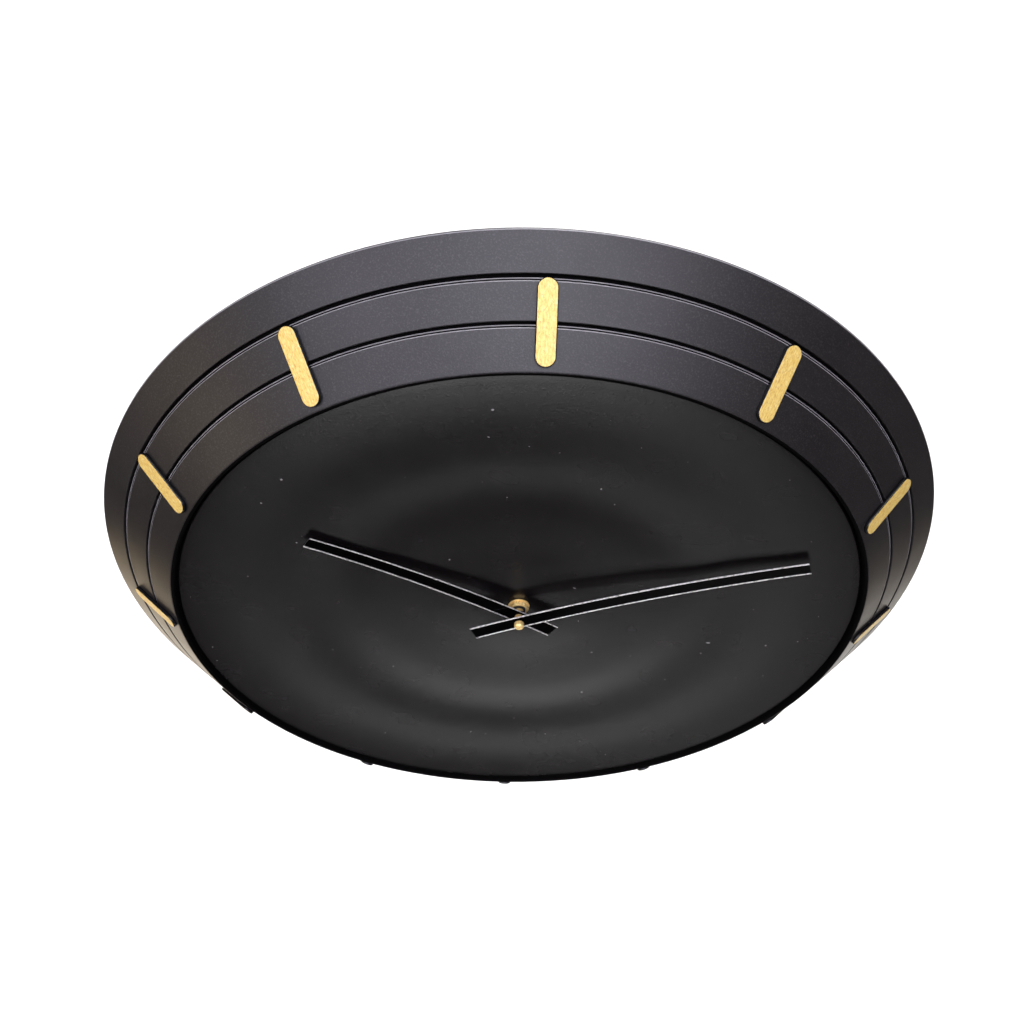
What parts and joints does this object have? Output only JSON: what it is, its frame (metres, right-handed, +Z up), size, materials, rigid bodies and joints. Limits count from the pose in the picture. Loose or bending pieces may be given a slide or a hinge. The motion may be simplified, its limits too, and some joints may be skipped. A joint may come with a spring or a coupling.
{
  "type": "wall clock",
  "caption": "Round battery wall clock: dished black dial in a broad sloping three-band rim, gilded hour bars, two bent hands, quartz movement and keyhole hanger.",
  "frame": {"origin": "centre of the upper end of the hanger's slot, on the wall plane behind the clock; the hands' arbor is 226 mm below it", "axes": "+Z up towards 12 o'clock, -Y out of the wall towards the viewer, +X to the viewer's right; the wall is the plane y = 0"},
  "size_m": [0.5, 0.0414, 0.5],
  "materials": {
    "rim_paint": "satin black paint, slightly warm, fine tooth",
    "dial_paint": "matt black paint",
    "gilding": "gilded, fine-grained face, black sides",
    "hand_enamel": "gloss black enamel with bright raised edges",
    "brass": "bright turned brass",
    "steel": "zinc-plated",
    "rubber": "matt black",
    "case_plastic": "fine moulded texture, black",
    "gear_plastic": "natural acetal",
    "pinion_plastic": "red acetal",
    "knob_plastic": "dark grey, knurled",
    "copper": "enamelled copper winding",
    "board_laminate": "paper laminate with copper tracks",
    "epoxy": "black epoxy drop",
    "magnet": "sintered ring",
    "battery_sleeve": "plain printed sleeve with steel ends"
  },
  "bodies": {
    "clock": {"rim": "rim_paint", "dial": "dial_paint", "dial_screw_1": "steel", "dial_screw_2": "steel", "dial_screw_3": "steel", "dial_screw_4": "steel", "dial_screw_5": "steel", "dial_screw_6": "steel", "hour_bar_01": "gilding", "hour_bar_02": "gilding", "hour_bar_03": "gilding", "hour_bar_04": "gilding", "hour_bar_05": "gilding", "hour_bar_06": "gilding", "hour_bar_07": "gilding", "hour_bar_08": "gilding", "hour_bar_09": "gilding", "hour_bar_10": "gilding", "hour_bar_11": "gilding", "hour_bar_12": "gilding", "fixing_nut": "brass", "brass_washer": "brass", "rubber_washer": "rubber", "hanger_plate": "steel", "hanger_screw_left": "steel", "hanger_screw_right": "steel", "stator": "steel", "coil_core": "steel", "coil_spool": "gear_plastic", "coil_winding": "copper", "circuit_board": "board_laminate", "timing_chip": "epoxy", "quartz_crystal": "steel", "positive_contact": "brass", "negative_contact": "steel", "train_bridge": "gear_plastic", "front_case": "case_plastic", "rear_cover": "case_plastic"},
    "minute_hand": {"minute_hand": "hand_enamel", "minute_cap": "brass", "minute_arbor": "brass"},
    "hour_hand": {"hour_hand": "hand_enamel", "hour_wheel": "gear_plastic"},
    "minute_wheel": {"minute_wheel": "gear_plastic"},
    "setting_knob": {"setting_knob": "knob_plastic"},
    "rotor": {"rotor_pinion": "pinion_plastic", "rotor_magnet": "magnet"},
    "fifth_wheel": {"fifth_wheel": "gear_plastic"},
    "seconds_wheel": {"seconds_wheel": "gear_plastic"},
    "third_wheel": {"third_wheel": "gear_plastic"},
    "centre_wheel": {"centre_wheel": "gear_plastic"},
    "battery": {"battery": "battery_sleeve"}
  },
  "joints": [
    {"name": "minute_hand_turn", "type": "hinge", "parent": "clock", "child": "minute_hand", "pos_m": [0, 0, -0.226], "axis": [0, 1, 0], "continuous": true},
    {"name": "hour_hand_turn", "type": "hinge", "parent": "clock", "child": "hour_hand", "pos_m": [0, 0, -0.226], "axis": [0, 1, 0], "continuous": true},
    {"name": "minute_wheel_turn", "type": "hinge", "parent": "clock", "child": "minute_wheel", "pos_m": [0.00786, 0, -0.22049], "axis": [0, 1, 0], "continuous": true},
    {"name": "setting_knob_turn", "type": "hinge", "parent": "clock", "child": "setting_knob", "pos_m": [0.01266, 0, -0.21218], "axis": [0, 1, 0], "continuous": true},
    {"name": "rotor_turn", "type": "hinge", "parent": "clock", "child": "rotor", "pos_m": [0.00192, 0, -0.21137], "axis": [0, 1, 0], "continuous": true},
    {"name": "fifth_wheel_turn", "type": "hinge", "parent": "clock", "child": "fifth_wheel", "pos_m": [-0.00146, 0, -0.21773], "axis": [0, 1, 0], "continuous": true},
    {"name": "seconds_wheel_turn", "type": "hinge", "parent": "clock", "child": "seconds_wheel", "pos_m": [0, 0, -0.226], "axis": [0, 1, 0], "continuous": true},
    {"name": "third_wheel_turn", "type": "hinge", "parent": "clock", "child": "third_wheel", "pos_m": [-0.00883, 0, -0.2209], "axis": [0, 1, 0], "continuous": true},
    {"name": "centre_wheel_turn", "type": "hinge", "parent": "clock", "child": "centre_wheel", "pos_m": [0, 0, -0.226], "axis": [0, 1, 0], "continuous": true},
    {"name": "battery_lift_out", "type": "slide", "parent": "clock", "child": "battery", "axis": [0, 1, 0], "range_m": [0, 0.03]}
  ],
  "couplings": [
    {"joint": "hour_hand_turn", "follows": "minute_hand_turn", "ratio": 0.083333},
    {"joint": "minute_wheel_turn", "follows": "minute_hand_turn", "ratio": -0.33333},
    {"joint": "setting_knob_turn", "follows": "minute_hand_turn", "ratio": 1},
    {"joint": "fifth_wheel_turn", "follows": "rotor_turn", "ratio": -0.2},
    {"joint": "seconds_wheel_turn", "follows": "rotor_turn", "ratio": 0.033333},
    {"joint": "third_wheel_turn", "follows": "rotor_turn", "ratio": -0.0041667},
    {"joint": "centre_wheel_turn", "follows": "rotor_turn", "ratio": 0.00055556}
  ]
}
